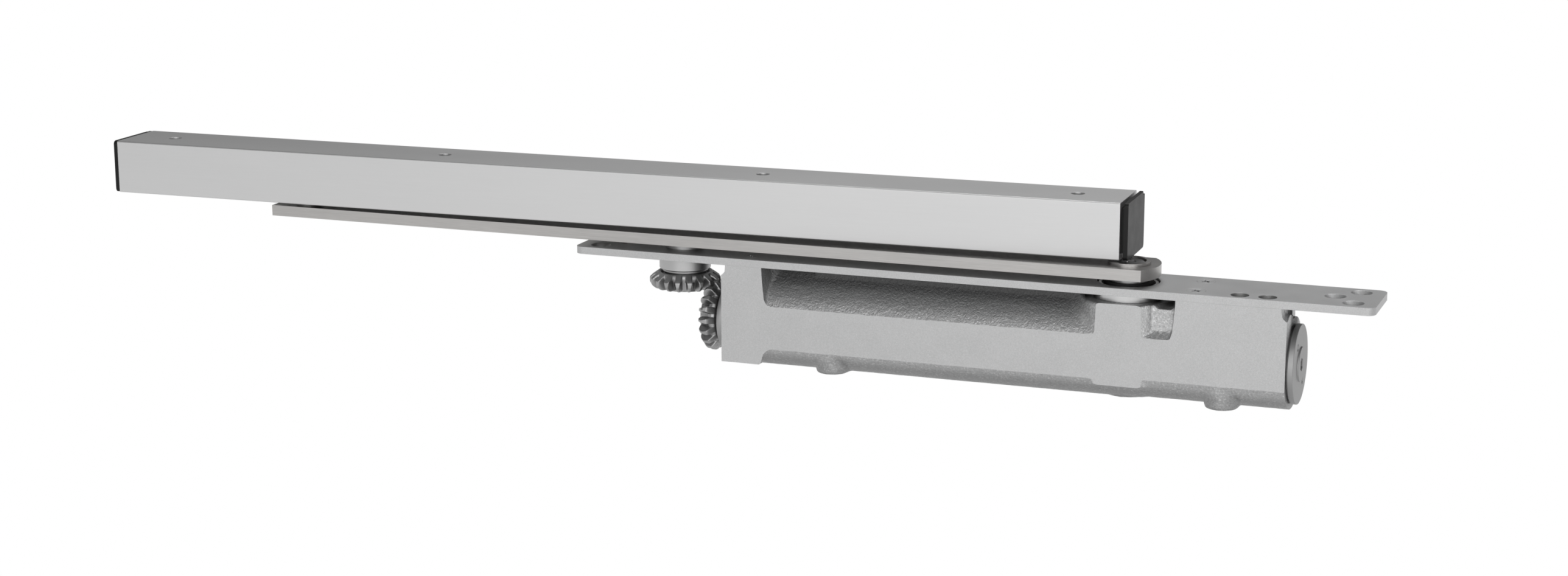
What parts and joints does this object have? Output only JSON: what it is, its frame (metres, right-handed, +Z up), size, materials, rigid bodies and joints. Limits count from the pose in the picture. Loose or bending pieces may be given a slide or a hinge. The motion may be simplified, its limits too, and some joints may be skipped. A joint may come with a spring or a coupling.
{
  "type": "overhead door closer",
  "caption": "Concealed overhead door closer: slim body under a mounting plate, with bevel adjuster, flat swing arm and guide track.",
  "frame": {"origin": "centre of the mounting plate's fixing hole pattern, on the plate's underside, which sits on the door", "axes": "+X along the plate towards the damping end plug, +Y to the back, +Z up out of the door's top edge"},
  "size_m": [0.5436, 0.041, 0.0763],
  "materials": {
    "silver_painted_steel": "satin silver paint on steel",
    "painted_cast_iron": "fine silver paint, machined flats, rough cast pockets",
    "plated_steel": "turned, bright zinc",
    "hardened_steel": "turned and ground",
    "gear_steel": "cut teeth",
    "bearing_steel": "ground",
    "spring_steel": "oil-blackened",
    "piston_metal": "ground",
    "valve_brass": "turned",
    "seal_rubber": "matt",
    "brushed_arm_steel": "brushed along the bar",
    "anodised_aluminium": "satin anodised",
    "cap_plastic": "near black",
    "block_plastic": "black sliding plastic"
  },
  "bodies": {
    "closer": {"mounting_plate": "silver_painted_steel", "plate_screws": "plated_steel", "closer_body": "painted_cast_iron", "end_plug": "plated_steel", "end_plug_seal": "seal_rubber", "upper_bearing_cup": "bearing_steel", "upper_bearing_needles": "bearing_steel", "lower_bearing_cup": "bearing_steel", "lower_bearing_needles": "bearing_steel", "bearing_collar": "plated_steel", "spindle_seal": "seal_rubber", "bottom_cover": "plated_steel", "thrust_bearing": "bearing_steel", "end_gland": "plated_steel", "screw_seal": "seal_rubber", "gear_bush": "plated_steel", "gear_washer": "plated_steel", "valve_seals": "seal_rubber"},
    "swing_arm": {"camshaft": "hardened_steel", "arm": "brushed_arm_steel", "arm_screw": "hardened_steel", "slide_pin": "hardened_steel"},
    "slider": {"slide_block": "block_plastic"},
    "track": {"track_channel": "anodised_aluminium", "track_end_cap_left": "cap_plastic", "track_end_cap_right": "cap_plastic"},
    "spring_side_piston": {"spring_piston": "piston_metal", "spring_roller_pin": "hardened_steel", "closing_spring": "spring_steel"},
    "spring_side_roller": {"spring_roller": "hardened_steel"},
    "damping_side_piston": {"damping_piston": "piston_metal", "damping_piston_seal": "seal_rubber", "check_valve_ball": "bearing_steel", "damping_roller_pin": "hardened_steel", "return_spring": "spring_steel"},
    "damping_side_roller": {"damping_roller": "hardened_steel"},
    "upright_gear": {"vertical_gear": "gear_steel", "vertical_gear_clip": "spring_steel"},
    "screw_and_gear": {"adjusting_screw": "hardened_steel", "horizontal_gear": "gear_steel", "horizontal_gear_clip": "spring_steel"},
    "nut": {"spring_nut": "piston_metal"},
    "closing_valve": {"closing_speed_valve": "valve_brass"},
    "latch_valve": {"latch_speed_valve": "valve_brass"}
  },
  "joints": [
    {"name": "arm_swing", "type": "hinge", "parent": "closer", "child": "swing_arm", "pos_m": [0.0655, 0, 0], "axis": [0, 0, 1], "range_deg": [0, 120], "stiffness_Nm_per_rad": 6, "springref_deg": -126.05},
    {"name": "slider_pivot", "type": "hinge", "parent": "swing_arm", "child": "slider", "pos_m": [-0.2945, 0, 0.01145], "axis": [0, 0, 1], "range_deg": [-100, 20]},
    {"name": "track_slide", "type": "slide", "parent": "slider", "child": "track", "axis": [0.9997, 0.0258, 0], "range_m": [-0.325, 0.052]},
    {"name": "spring_piston_slide", "type": "slide", "parent": "closer", "child": "spring_side_piston", "axis": [-1, 0, 0], "range_m": [0, 0.00501], "deforming": ["closing_spring"]},
    {"name": "damping_piston_slide", "type": "slide", "parent": "closer", "child": "damping_side_piston", "axis": [-1, 0, 0], "range_m": [0, 0.00501], "deforming": ["return_spring"]},
    {"name": "spring_roller_turn", "type": "hinge", "parent": "spring_side_piston", "child": "spring_side_roller", "pos_m": [0.05295, 0, -0.0244], "axis": [0, 0, 1], "range_deg": [-208, 0]},
    {"name": "damping_roller_turn", "type": "hinge", "parent": "damping_side_piston", "child": "damping_side_roller", "pos_m": [0.08305, 0, -0.0244], "axis": [0, 0, 1], "range_deg": [-208, 0]},
    {"name": "adjuster_turn", "type": "hinge", "parent": "closer", "child": "upright_gear", "pos_m": [-0.1197, 0, 0], "axis": [0, 0, 1], "range_deg": [0, 1080]},
    {"name": "adjusting_screw_turn", "type": "hinge", "parent": "closer", "child": "screw_and_gear", "pos_m": [-0.1197, 0, -0.0244], "axis": [1, 0, 0], "range_deg": [-1080, 0]},
    {"name": "spring_nut_slide", "type": "slide", "parent": "closer", "child": "nut", "axis": [-1, 0, 0], "range_m": [0, 0.00601]},
    {"name": "closing_valve_turn", "type": "hinge", "parent": "closer", "child": "closing_valve", "pos_m": [0.1108, -0.0106, -0.004], "axis": [0, 0, 1], "range_deg": [-360, 360]},
    {"name": "latch_valve_turn", "type": "hinge", "parent": "closer", "child": "latch_valve", "pos_m": [0.1213, -0.0106, -0.004], "axis": [0, 0, 1], "range_deg": [-360, 360]}
  ],
  "couplings": [
    {"joint": "spring_piston_slide", "follows": "arm_swing", "m_per_rad": 0.0023873},
    {"joint": "damping_piston_slide", "follows": "arm_swing", "m_per_rad": 0.0023873},
    {"joint": "spring_roller_turn", "follows": "arm_swing", "ratio": -1.73},
    {"joint": "damping_roller_turn", "follows": "arm_swing", "ratio": -1.73},
    {"joint": "adjusting_screw_turn", "follows": "adjuster_turn", "ratio": -1},
    {"joint": "spring_nut_slide", "follows": "adjuster_turn", "m_per_rad": 0.00031831}
  ]
}
